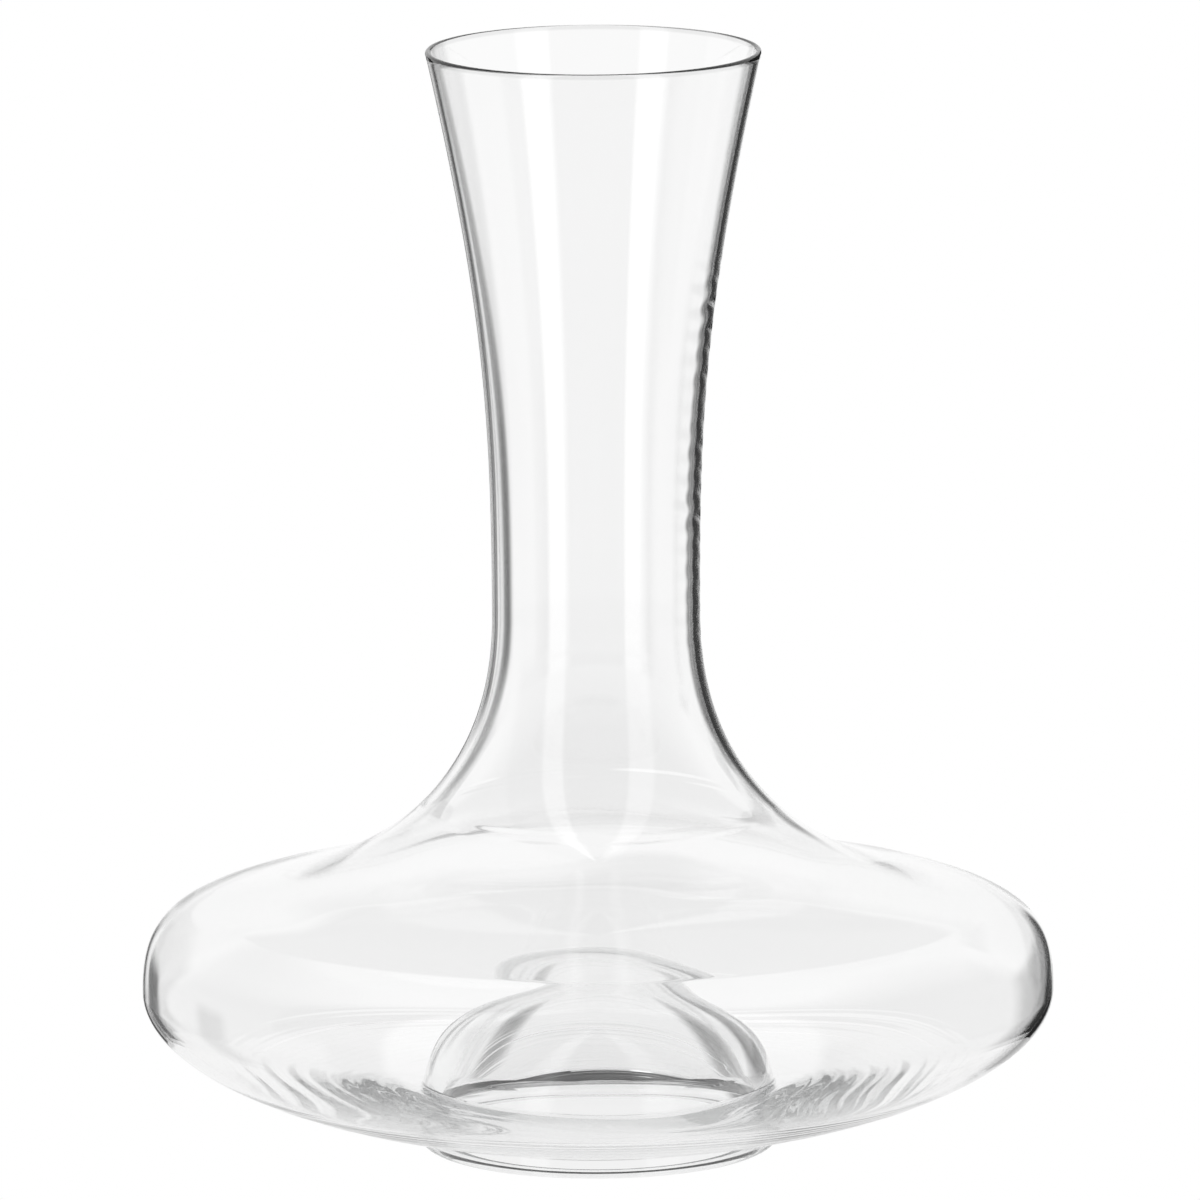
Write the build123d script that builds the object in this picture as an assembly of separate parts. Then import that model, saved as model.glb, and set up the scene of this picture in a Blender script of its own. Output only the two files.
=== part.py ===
from build123d import *
import math
import os

# Mouth-blown wine decanter: one continuous glass wall.
# The origin is on the table plane, on the axis of the vessel; +Z points up through the mouth.

# ---- overall sizes ----
overall_height = 243.0        # table to the top of the lip
bowl_diameter = 200.0         # widest point of the bowl, outside
widest_height = 35.0          # height of that widest point

# ---- shoulder, throat and mouth, outside ----
shoulder_inset = 14.5         # from the widest ring in to where its round edge turns hollow
shoulder_rise = 19.0          # from the widest ring up to that turn
shoulder_slope = 11.5         # degrees below level at that turn, the flattest part of the shoulder
throat_diameter = 45.6        # narrowest point of the neck
throat_height = 118.0
mouth_diameter = 73.2         # outside of the flared mouth
mouth_flare = 12.5            # degrees the wall leans out at the lip

# ---- foot ring and underside ----
foot_diameter = 80.0          # outside of the foot ring
foot_height = 4.9             # table to the crease under the bowl
ring_width = 2.0              # flat ring that touches the table
foot_edge = 3.0               # how far the round lower edge of the foot reaches in
underside_slope = 11.0        # degrees the underside of the bowl rises as it leaves the foot

# ---- push-up in the middle of the base ----
push_up_rise = 37.0           # table to the top of the hollow under the base
hollow_draft = 88.0           # degrees from level of the side of the hollow at the ring
push_up_wall = 4.0            # glass over the top of the hollow
push_up_side_wall = 4.0      # from the rim of the hollow out to the flank of the dome inside
dome_flank_drop = 31.0        # top of the dome down to the flank
dome_flank_slope = 87.0       # degrees from level at the flank
gutter_width = 13.0           # from the dome's flank out to the lowest ring of the floor inside
floor_wall = 4.2              # glass under that ring

# ---- wall thicknesses ----
bowl_wall = 1.6
shoulder_wall = 1.6
throat_wall = 1.6
lip_wall = 1.2

# ---- how full each curve is drawn towards the corner of its two end directions ----
underside_full = (0.80, 0.48)
edge_full = (0.74, 0.78)
hollow_full = (0.35, 0.94)
neck_full = (0.69, 0.92)
dome_full = (0.60, 0.60)
inner_side_full = (0.52, 0.36)
gutter_full = (0.60, 0.50)
kick_full = (0.60, 0.60)
foot_full = (0.62, 0.62)


def point(radius, height):
    return Vector(radius, 0, height)


def heading(degrees):
    # direction in the plane of the section: 0 is outward, 90 is up
    return Vector(math.cos(math.radians(degrees)), 0, math.sin(math.radians(degrees)))


def corner(start, start_heading, end, end_heading):
    # where the two end directions of a curve meet
    across = start_heading.X * end_heading.Z - start_heading.Z * end_heading.X
    gap = end - start
    reach = (gap.X * end_heading.Z - gap.Z * end_heading.X) / across
    return start + start_heading * reach


def sweep_curve(start, start_degrees, end, end_degrees, full):
    meet = corner(start, heading(start_degrees), end, heading(end_degrees))
    first = start + (meet - start) * full[0]
    second = end + (meet - end) * full[1]
    return Bezier(start, first, second, end)


def inset(place, degrees, wall):
    # a point moved square to its curve, from the outside of the glass to the inside
    return place + heading(degrees + 90) * wall


# ---- stations on the outside of the glass ----
shoulder_heading = 180 - shoulder_slope
mouth_heading = 90 - mouth_flare
foot_crease = point(foot_diameter / 2, foot_height)
ring_outer = point(foot_diameter / 2 - foot_edge, 0)
ring_inner = point(ring_outer.X - ring_width, 0)
kick_top = point(0, push_up_rise)
widest = point(bowl_diameter / 2, widest_height)
shoulder = point(widest.X - shoulder_inset, widest.Z + shoulder_rise)
throat = point(throat_diameter / 2, throat_height)
lip_radius = lip_wall / 2
lip_lean = lip_radius * math.sin(math.radians(mouth_flare))
mouth = point(mouth_diameter / 2, overall_height - lip_radius - lip_lean)

# ---- stations on the inside of the glass ----
inner_widest = inset(widest, 90, bowl_wall)
inner_shoulder = inset(shoulder, shoulder_heading, shoulder_wall)
inner_throat = inset(throat, 90, throat_wall)
inner_mouth = inset(mouth, mouth_heading, lip_wall)
lip_crown = (mouth + inner_mouth) * 0.5 + heading(mouth_heading) * lip_radius
dome_top = point(0, push_up_rise + push_up_wall)
dome_flank = point(ring_inner.X + push_up_side_wall, dome_top.Z - dome_flank_drop)


def underside_height(radius):
    # height of the outside of the bowl above the floor ring, on its straight run-out from the foot
    run = radius - foot_diameter / 2
    return foot_height + run * math.tan(math.radians(underside_slope))


floor_radius = dome_flank.X + gutter_width
floor_ring = point(floor_radius, underside_height(floor_radius) + floor_wall)


def outside_curves():
    return [
        sweep_curve(kick_top, 0, ring_inner, -hollow_draft, kick_full),
        Line(ring_inner, ring_outer),
        sweep_curve(ring_outer, 0, foot_crease, 90, foot_full),
        sweep_curve(foot_crease, underside_slope, widest, 90, underside_full),
        sweep_curve(widest, 90, shoulder, shoulder_heading, edge_full),
        sweep_curve(shoulder, shoulder_heading, throat, 90, hollow_full),
        sweep_curve(throat, 90, mouth, mouth_heading, neck_full),
    ]


def inside_curves():
    return [
        sweep_curve(inner_mouth, mouth_heading + 180, inner_throat, -90, neck_full[::-1]),
        sweep_curve(inner_throat, -90, inner_shoulder, -shoulder_slope, hollow_full[::-1]),
        sweep_curve(inner_shoulder, -shoulder_slope, inner_widest, -90, edge_full[::-1]),
        sweep_curve(inner_widest, -90, floor_ring, 180, inner_side_full),
        sweep_curve(floor_ring, 180, dome_flank, 180 - dome_flank_slope, gutter_full),
        sweep_curve(dome_flank, 180 - dome_flank_slope, dome_top, 180, dome_full),
    ]


def vessel():
    lip = ThreePointArc(mouth, lip_crown, inner_mouth)
    axis_line = Line(dome_top, kick_top)
    section = Wire(outside_curves() + [lip] + inside_curves() + [axis_line])
    return revolve(Face(section), Axis.Z, 360)


os.makedirs("parts", exist_ok=True)
decanter = vessel()
decanter.label = "decanter"
export_step(decanter, "parts/decanter.step")
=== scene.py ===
import math

import bpy
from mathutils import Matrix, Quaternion, Vector
import numpy as np


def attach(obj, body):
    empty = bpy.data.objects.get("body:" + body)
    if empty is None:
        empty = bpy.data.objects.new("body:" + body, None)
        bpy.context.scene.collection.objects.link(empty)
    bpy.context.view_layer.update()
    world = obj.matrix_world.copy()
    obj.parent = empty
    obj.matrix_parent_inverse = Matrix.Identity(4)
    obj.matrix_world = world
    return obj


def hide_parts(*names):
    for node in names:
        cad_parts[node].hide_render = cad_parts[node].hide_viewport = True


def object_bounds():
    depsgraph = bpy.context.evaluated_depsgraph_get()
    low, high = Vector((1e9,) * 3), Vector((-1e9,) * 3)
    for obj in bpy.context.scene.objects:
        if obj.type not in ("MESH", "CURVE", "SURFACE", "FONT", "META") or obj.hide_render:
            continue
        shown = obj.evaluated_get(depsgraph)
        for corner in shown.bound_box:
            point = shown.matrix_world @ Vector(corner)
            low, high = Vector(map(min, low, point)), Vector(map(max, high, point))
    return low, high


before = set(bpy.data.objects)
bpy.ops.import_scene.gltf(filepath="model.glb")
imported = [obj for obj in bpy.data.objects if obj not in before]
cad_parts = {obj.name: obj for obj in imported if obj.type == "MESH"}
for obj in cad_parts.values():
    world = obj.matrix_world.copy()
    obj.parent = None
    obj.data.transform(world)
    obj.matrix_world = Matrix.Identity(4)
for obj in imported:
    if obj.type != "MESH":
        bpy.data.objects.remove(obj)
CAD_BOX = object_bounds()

MM = 0.001

# ---------------------------------------------------------------- sizes, as in the CAD, in millimetres
HEIGHT = (CAD_BOX[1].z - CAD_BOX[0].z) / MM
BOWL_RADIUS = 100.0
WIDEST_Z = 35.0
SHOULDER = (85.5, 54.0)
SHOULDER_SLOPE = 11.5
THROAT = (22.8, 118.0)
MOUTH_RADIUS = 36.6
MOUTH_FLARE = 12.5
FOOT_CREASE = (40.0, 4.9)
RING_OUTER = (37.0, 0.0)
RING_INNER = (35.0, 0.0)
UNDERSIDE_SLOPE = 11.0
KICK_TOP = (0.0, 37.0)
DOME_TOP = (0.0, 41.0)
DOME_FLANK = (39.0, 10.0)
DOME_FLANK_SLOPE = 87.0
HOLLOW_DRAFT = 88.0
FLOOR_RADIUS = 52.0
FLOOR_WALL = 4.2
BOWL_WALL = 1.6
SHOULDER_WALL = 1.6
THROAT_WALL = 1.6
LIP_WALL = 1.2

# ---------------------------------------------------------------- the skin
AROUND = 480               # places round the vessel
LIP_STEPS = 12             # places round the lip
RING_WAVES = [(1.2, 0.004), (1.7, 0.007), (2.4, 0.012), (3.6, 0.02), (5.8, 0.03)]    # length, height in mm
UNDERSIDE_MARKS = 1.5      # how strongly the rings show on the outside of the base
FLOOR_MARKS = 0.4          # and on the floor inside
BODY_WAVE = 0.03           # slow waves in the bowl, height in mm
BODY_WAVE_LENGTH = 34.0    # mm along the section
BODY_WAVE_COUNT = 9

# ---------------------------------------------------------------- the glass
GLASS_IOR = 1.51
GLASS_TINT = (0.50, 0.51, 0.51, 1)
GLASS_ABSORPTION = 14.0    # per metre

# ---------------------------------------------------------------- the studio
FLOOR_SIZE, FLOOR_Z, FLOOR_WHITE = 60.0, -0.0006, 1.0       # metres, seen by the camera only
TABLE_SIZE, TABLE_Z, TABLE_WHITE = 0.125, -0.0003, 0.93     # metres, seen only through and in the glass
CAMERA_DISTANCE = 3.6
RIM_ELEVATION = 8.65       # degrees above level at which the rim is seen
LENS, SENSOR = 502.3, 36.0
CAMERA_ROLL = -0.3         # degrees
CAMERA_SHIFT = (3.9 / 1200, -1.0 / 1200)
LIGHT_BOUNCES = 48
GLOSSY_BOUNCES = TRANSPARENT_BOUNCES = 24


def heading(degrees):
    """A step of one in this direction of the section: 0 is away from the axis, 90 is up."""
    return np.array([math.cos(math.radians(degrees)), math.sin(math.radians(degrees))])


def sweep(start, start_deg, end, end_deg, full, steps):
    """Points of the curve between two places of the section, without its last one."""
    start, end = np.array(start, float), np.array(end, float)
    a, b = heading(start_deg), heading(end_deg)
    gap = end - start
    meet = start + a * (gap[0] * b[1] - gap[1] * b[0]) / (a[0] * b[1] - a[1] * b[0])
    p1 = start + (meet - start) * full[0]
    p2 = end + (meet - end) * full[1]
    t = np.linspace(0, 1, steps, endpoint=False)[:, None]
    return (1 - t) ** 3 * start + 3 * (1 - t) ** 2 * t * p1 + 3 * (1 - t) * t * t * p2 + t**3 * end


def inset(place, degrees, wall):
    """The place across the glass from one on the outside, where the outside runs at these degrees."""
    return np.array(place, float) + heading(degrees + 90) * wall


def section():
    """The outside of the glass from under the middle of the base up to the lip, then the inside back down."""
    lip_r = LIP_WALL / 2
    mouth_deg = 90 - MOUTH_FLARE
    shoulder_deg = 180 - SHOULDER_SLOPE
    mouth = (MOUTH_RADIUS, HEIGHT - lip_r - lip_r * math.sin(math.radians(MOUTH_FLARE)))
    widest = (BOWL_RADIUS, WIDEST_Z)
    in_widest = inset(widest, 90, BOWL_WALL)
    in_shoulder = inset(SHOULDER, shoulder_deg, SHOULDER_WALL)
    in_throat = inset(THROAT, 90, THROAT_WALL)
    in_mouth = inset(mouth, mouth_deg, LIP_WALL)
    run = math.tan(math.radians(UNDERSIDE_SLOPE)) * (FLOOR_RADIUS - FOOT_CREASE[0])
    floor_ring = (FLOOR_RADIUS, FOOT_CREASE[1] + run + FLOOR_WALL)
    lip_mid = (np.array(mouth) + in_mouth) / 2
    turn = [lip_mid + lip_r * heading(mouth_deg - 90 + 180 * k / LIP_STEPS) for k in range(LIP_STEPS)]
    flank_deg = 180 - DOME_FLANK_SLOPE
    outer = [
        sweep(KICK_TOP, 0, RING_INNER, -HOLLOW_DRAFT, (0.60, 0.60), 90),
        np.linspace(RING_INNER, RING_OUTER, 6, endpoint=False),
        sweep(RING_OUTER, 0, FOOT_CREASE, 90, (0.62, 0.62), 24),
        sweep(FOOT_CREASE, UNDERSIDE_SLOPE, widest, 90, (0.80, 0.48), 240),
        sweep(widest, 90, SHOULDER, shoulder_deg, (0.74, 0.78), 70),
        sweep(SHOULDER, shoulder_deg, THROAT, 90, (0.35, 0.94), 200),
        sweep(THROAT, 90, mouth, mouth_deg, (0.69, 0.92), 160),
        np.array(turn),
    ]
    inner = [
        sweep(in_mouth, mouth_deg + 180, in_throat, -90, (0.92, 0.69), 160),
        sweep(in_throat, -90, in_shoulder, -SHOULDER_SLOPE, (0.94, 0.35), 200),
        sweep(in_shoulder, -SHOULDER_SLOPE, in_widest, -90, (0.78, 0.74), 70),
        sweep(in_widest, -90, floor_ring, 180, (0.52, 0.36), 260),
        sweep(floor_ring, 180, DOME_FLANK, flank_deg, (0.60, 0.50), 70),
        sweep(DOME_FLANK, flank_deg, DOME_TOP, 180, (0.60, 0.60), 110),
        np.array([DOME_TOP], float),
    ]
    return np.vstack(outer), np.vstack(inner)


def bump(x, low, high, soft):
    """1 between low and high, falling smoothly to 0 outside over the soft distance."""
    up = np.clip((x - low) / soft + 0.5, 0, 1)
    down = np.clip((high - x) / soft + 0.5, 0, 1)
    return (up * up * (3 - 2 * up)) * (down * down * (3 - 2 * down))


def tool_marks(r, angle, rng, waves, turns=3):
    """Fine rings left by the tools: waves of (length, height) in mm that drift a little round the vessel."""
    total = np.zeros((len(r), len(angle)))
    for length, height in waves:
        phase = rng.uniform(0, 2 * math.pi)
        drift = sum(
            rng.uniform(0.2, 0.7) / k * np.sin(k * angle + rng.uniform(0, 2 * math.pi))
            for k in range(1, turns + 1)
        )
        swell = 0.6 + 0.4 * np.sin(angle * rng.integers(1, 4) + rng.uniform(0, 2 * math.pi))
        total += height * np.sin(2 * math.pi * r[:, None] / length + phase + drift[None, :]) * swell[None, :]
    return total


def slow_waves(along, angle, rng, count, height, length):
    """Broad unevenness of hand-blown glass."""
    total = np.zeros((len(along), len(angle)))
    for _ in range(count):
        k = rng.integers(1, 7)
        wave = rng.uniform(0.7, 1.6) * length
        phase = rng.uniform(0, 2 * math.pi)
        total += np.sin(2 * math.pi * along[:, None] / wave + k * angle[None, :] + phase)
    return total * height / math.sqrt(count)


def blown_surface(points, outer_count):
    """How far each place of the skin stands off the exact round form, in millimetres along its normal."""
    rng = np.random.default_rng(7)
    angle = np.arange(AROUND) * 2 * math.pi / AROUND
    r, z = points[:, 0], points[:, 1]
    step = np.hypot(np.diff(r, prepend=r[0]), np.diff(z, prepend=z[0]))
    along = np.cumsum(step)
    outside = np.arange(len(points)) < outer_count
    off = np.zeros((len(points), AROUND))
    under = bump(r, 43, 84, 6) * (z < 32)
    off += UNDERSIDE_MARKS * (under * outside)[:, None] * tool_marks(r, angle, rng, RING_WAVES)
    floor = bump(r, 45, 78, 5) * (z < 32)
    off += FLOOR_MARKS * (floor * ~outside)[:, None] * tool_marks(r, angle, rng, RING_WAVES)
    body = bump(z, 14, 80, 12) * (r > 38)
    waves = slow_waves(along, angle, rng, BODY_WAVE_COUNT, BODY_WAVE, BODY_WAVE_LENGTH)
    off += body[:, None] * waves
    neck = bump(z, 112, 196, 10) * (r < 40) * ~outside
    side = bump(np.abs((angle + math.pi) % (2 * math.pi) - math.pi), -1, 0.5, 0.4)
    swell = 0.65 + 0.35 * np.sin(z / 7.0)
    ripple = swell * (0.028 * np.sin(2 * math.pi * z / 5.3) + 0.018 * np.sin(2 * math.pi * z / 8.1 + 1.3))
    off += (neck * ripple)[:, None] * side[None, :]
    return off


def section_normals(points):
    """Which way is out of the glass at each place of the section."""
    way = np.gradient(points, axis=0)
    way /= np.maximum(np.hypot(way[:, 0], way[:, 1]), 1e-9)[:, None]
    return np.stack([way[:, 1], -way[:, 0]], axis=1)


def revolve(name, points, outer_count):
    """A closed skin: points is the section from axis to axis, in millimetres."""
    off = blown_surface(points, outer_count)[1:-1]
    out = section_normals(points)[1:-1]
    ring = points[1:-1]
    rows = len(ring)
    angle = np.arange(AROUND) * 2 * math.pi / AROUND
    r = ring[:, 0, None] + off * out[:, 0, None]
    z = ring[:, 1, None] + off * out[:, 1, None]
    verts = np.stack([r * np.cos(angle), r * np.sin(angle), z], axis=2).reshape(-1, 3)
    poles = [[0, 0, points[0, 1]], [0, 0, points[-1, 1]]]
    verts = np.vstack([verts, poles]) * MM
    first, last = len(verts) - 2, len(verts) - 1
    j = np.arange(AROUND)
    k = (j + 1) % AROUND
    base = (np.arange(rows - 1) * AROUND)[:, None]
    quads = np.stack([base + j, base + k, base + AROUND + k, base + AROUND + j], axis=2).reshape(-1, 4)
    top = (rows - 1) * AROUND
    fans = [(first, int(b), int(a)) for a, b in zip(j, k)]
    fans += [(last, int(top + a), int(top + b)) for a, b in zip(j, k)]
    mesh = bpy.data.meshes.new(name)
    mesh.from_pydata(verts.tolist(), [], quads.tolist() + fans)
    mesh.polygons.foreach_set("use_smooth", [True] * len(mesh.polygons))
    mesh.update()
    obj = bpy.data.objects.new(name, mesh)
    bpy.context.scene.collection.objects.link(obj)
    return obj


def glass_material():
    """Clear glass that takes a little light over its thickness."""
    mat = bpy.data.materials.new("clear_glass")
    mat.use_nodes = True
    tree = mat.node_tree
    bsdf = tree.nodes["Principled BSDF"]
    bsdf.inputs["Base Color"].default_value = (1, 1, 1, 1)
    bsdf.inputs["Roughness"].default_value = 0.0
    bsdf.inputs["IOR"].default_value = GLASS_IOR
    bsdf.inputs["Transmission Weight"].default_value = 1.0
    soak = tree.nodes.new("ShaderNodeVolumeAbsorption")
    soak.inputs["Color"].default_value = GLASS_TINT
    soak.inputs["Density"].default_value = GLASS_ABSORPTION
    tree.links.new(soak.outputs[0], tree.nodes["Material Output"].inputs["Volume"])
    return mat


outer, inner = section()
glass = revolve("decanter_glass", np.vstack([outer, inner]), len(outer))
glass.data.materials.append(glass_material())
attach(glass, "root")
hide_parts("decanter")


# ---------------------------------------------------------------- studio
def ramp_node(tree, stops):
    """A colour ramp of greys from (position, value) stops."""
    node = tree.nodes.new("ShaderNodeValToRGB")
    ramp = node.color_ramp
    ramp.interpolation = "LINEAR"
    while len(ramp.elements) > 1:
        ramp.elements.remove(ramp.elements[-1])
    ramp.elements[0].position = stops[0][0]
    ramp.elements[0].color = (stops[0][1],) * 3 + (1,)
    for pos, val in stops[1:]:
        e = ramp.elements.new(pos)
        e.color = (val,) * 3 + (1,)
    return node


# how bright the studio is, as (degrees from +X towards +Y, brightness): below level, level, and above
LOW_ZONES = [
    (0, 0.9), (38, 0.9), (46, 0.05), (77, 0.05), (80, 1.0), (97, 1.0),
    (99, 0.1), (103, 0.1), (105, 0.9), (109, 0.9), (111, 0.1), (121, 0.1),
    (124, 1.0), (147, 1.0), (151, 0.2), (159, 0.2), (163, 1.0), (196, 1.0),
    (200, 0.5), (213, 0.5), (216, 1.5), (234, 1.5), (237, 0.6), (301, 0.6),
    (304, 1.4), (326, 1.4), (330, 0.3), (345, 0.9),
]
LEVEL_ZONES = [
    (0, 0.9), (38, 0.9), (46, 0.05), (77, 0.05), (80, 1.0), (147, 1.0),
    (200, 0.7), (213, 0.7), (216, 1.6), (234, 1.6), (237, 0.6), (301, 0.6),
    (304, 1.5), (326, 1.5), (330, 0.8),
]
HIGH_ZONES = [
    (0, 0.9), (40, 0.95), (150, 0.95), (205, 0.75), (213, 0.75), (216, 1.7),
    (234, 1.7), (237, 0.65), (301, 0.65), (304, 1.5), (326, 1.5), (330, 0.85),
]
PEAK = 2.0                 # the brightest that a zone may be
BELOW_LEVEL = (-5, 1)      # degrees above level over which one set of zones gives way to the next
ABOVE_LEVEL = (3, 9)
HAZE = (-11.8, -10.4)      # degrees over which the far table, a little grey, gives way to the backdrop
HAZE_LOW, HAZE_HIGH = 0.86, 0.985


def zone_ramp(tree, factor, zones):
    """The brightness of these zones, by the direction round Z."""
    stops = sorted((((d + 180) % 360) / 360, v / PEAK) for d, v in zones)
    ramp = ramp_node(tree, stops)
    tree.links.new(factor, ramp.inputs["Fac"])
    return ramp.outputs["Color"]


def rise(tree, height, degrees, values):
    """Goes from one value to the other as the direction rises between these degrees above level."""
    fade = tree.nodes.new("ShaderNodeMapRange")
    fade.inputs["From Min"].default_value = math.sin(math.radians(degrees[0]))
    fade.inputs["From Max"].default_value = math.sin(math.radians(degrees[1]))
    fade.inputs["To Min"].default_value, fade.inputs["To Max"].default_value = values
    tree.links.new(height, fade.inputs["Value"])
    return fade.outputs["Result"]


def blend_above(tree, height, start, end, below, above):
    """Goes from one colour to the other as the direction rises from start to end degrees above level."""
    mix = tree.nodes.new("ShaderNodeMix")
    mix.data_type = "RGBA"
    tree.links.new(rise(tree, height, (start, end), (0, 1)), mix.inputs[0])
    tree.links.new(below, mix.inputs[6])
    tree.links.new(above, mix.inputs[7])
    return mix.outputs[2]


def studio_world():
    """White to the camera; to the glass, a white backdrop, dark flags beside it and soft boxes in front."""
    world = bpy.data.worlds.new("studio")
    bpy.context.scene.world = world
    world.use_nodes = True
    tree = world.node_tree
    tree.nodes.clear()
    out = tree.nodes.new("ShaderNodeOutputWorld")
    back = tree.nodes.new("ShaderNodeBackground")
    white = tree.nodes.new("ShaderNodeBackground")
    white.inputs["Color"].default_value = (1, 1, 1, 1)
    mix = tree.nodes.new("ShaderNodeMixShader")
    path = tree.nodes.new("ShaderNodeLightPath")
    coord = tree.nodes.new("ShaderNodeTexCoord")
    grad = tree.nodes.new("ShaderNodeTexGradient")
    grad.gradient_type = "RADIAL"      # 0 to 1 round Z, 0.5 at +X
    split = tree.nodes.new("ShaderNodeSeparateXYZ")
    tree.links.new(coord.outputs["Generated"], grad.inputs["Vector"])
    tree.links.new(coord.outputs["Generated"], split.inputs[0])
    zones = (LOW_ZONES, LEVEL_ZONES, HIGH_ZONES)
    low, level, high = (zone_ramp(tree, grad.outputs["Fac"], z) for z in zones)
    rising = blend_above(tree, split.outputs["Z"], *BELOW_LEVEL, low, level)
    rising = blend_above(tree, split.outputs["Z"], *ABOVE_LEVEL, rising, high)
    tree.links.new(rising, back.inputs["Color"])
    haze = rise(tree, split.outputs["Z"], HAZE, (PEAK * HAZE_LOW, PEAK * HAZE_HIGH))
    tree.links.new(haze, back.inputs["Strength"])
    tree.links.new(path.outputs["Is Camera Ray"], mix.inputs[0])
    tree.links.new(back.outputs[0], mix.inputs[1])
    tree.links.new(white.outputs[0], mix.inputs[2])
    tree.links.new(mix.outputs[0], out.inputs[0])


def plain_emission(name, value):
    mat = bpy.data.materials.new(name)
    mat.use_nodes = True
    mat.node_tree.nodes.clear()
    out = mat.node_tree.nodes.new("ShaderNodeOutputMaterial")
    emit = mat.node_tree.nodes.new("ShaderNodeEmission")
    emit.inputs["Color"].default_value = (value, value, value, 1)
    mat.node_tree.links.new(emit.outputs[0], out.inputs[0])
    return mat


def disc(name, radius, z, value, sides=96):
    turn = [2 * math.pi * k / sides for k in range(sides)]
    pts = [(radius * math.cos(a), radius * math.sin(a), z) for a in turn]
    mesh = bpy.data.meshes.new(name)
    mesh.from_pydata(pts, [], [tuple(range(sides))])
    obj = bpy.data.objects.new(name, mesh)
    bpy.context.scene.collection.objects.link(obj)
    mesh.materials.append(plain_emission(name, value))
    return obj


def studio_floor():
    floor = disc("studio_floor", FLOOR_SIZE, FLOOR_Z, FLOOR_WHITE)
    floor.visible_transmission = False
    floor.visible_glossy = False
    floor.visible_diffuse = False
    table = disc("studio_table", TABLE_SIZE, TABLE_Z, TABLE_WHITE)
    table.visible_camera = False


def camera():
    data = bpy.data.cameras.new("camera")
    cam = bpy.data.objects.new("camera", data)
    bpy.context.scene.collection.objects.link(cam)
    aim = Vector((0, 0, HEIGHT * MM / 2))
    above_rim = CAMERA_DISTANCE * math.tan(math.radians(RIM_ELEVATION))
    place = Vector((0, -CAMERA_DISTANCE, HEIGHT * MM + above_rim))
    data.sensor_width = SENSOR
    data.lens = LENS
    look = (aim - place).to_track_quat("-Z", "Y")
    cam.location = place
    cam.rotation_mode = "QUATERNION"
    cam.rotation_quaternion = look @ Quaternion(Vector((0, 0, 1)), math.radians(CAMERA_ROLL))
    data.shift_x, data.shift_y = CAMERA_SHIFT
    data.clip_start, data.clip_end = 0.1, 60
    bpy.context.scene.camera = cam


studio_world()
studio_floor()
camera()
scene = bpy.context.scene
scene.view_settings.view_transform = "Standard"
scene.view_settings.look = "None"
scene.cycles.max_bounces = LIGHT_BOUNCES
scene.cycles.transmission_bounces = LIGHT_BOUNCES
scene.cycles.glossy_bounces = GLOSSY_BOUNCES
scene.cycles.transparent_max_bounces = TRANSPARENT_BOUNCES
